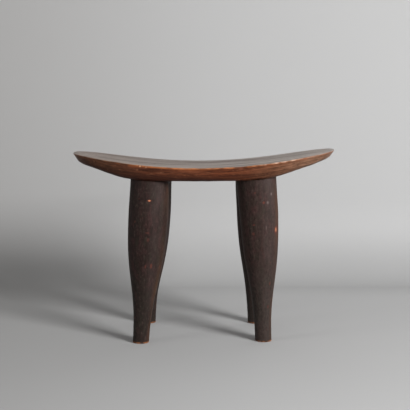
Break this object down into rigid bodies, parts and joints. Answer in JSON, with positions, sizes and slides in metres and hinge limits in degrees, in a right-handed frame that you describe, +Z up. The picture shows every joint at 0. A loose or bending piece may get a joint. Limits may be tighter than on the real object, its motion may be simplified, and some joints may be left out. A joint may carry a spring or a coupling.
{
  "type": "stool",
  "caption": "Carved wooden stool: a curved oval seat, high at both ends, on splayed round club-shaped legs held by blind wedged tenons.",
  "frame": {"origin": "on the floor, under the middle of the seat", "axes": "+X along the seat's length, +Y to the back, +Z up"},
  "size_m": [0.5619, 0.2712, 0.4034],
  "materials": {
    "seat_wood": "dark reddish brown hardwood, hand-rubbed satin, worn paler along the rim",
    "leg_wood": "blackened hardwood with a dull sheen, small reddish chips and worn edges",
    "wedge_wood": "plain split hardwood, unfinished"
  },
  "bodies": {
    "root": {"seat": "seat_wood", "leg_front_left": "leg_wood", "leg_front_right": "leg_wood", "leg_back_left": "leg_wood", "leg_back_right": "leg_wood", "wedge_front_left": "wedge_wood", "wedge_front_right": "wedge_wood", "wedge_back_left": "wedge_wood", "wedge_back_right": "wedge_wood"}
  },
  "joints": []
}
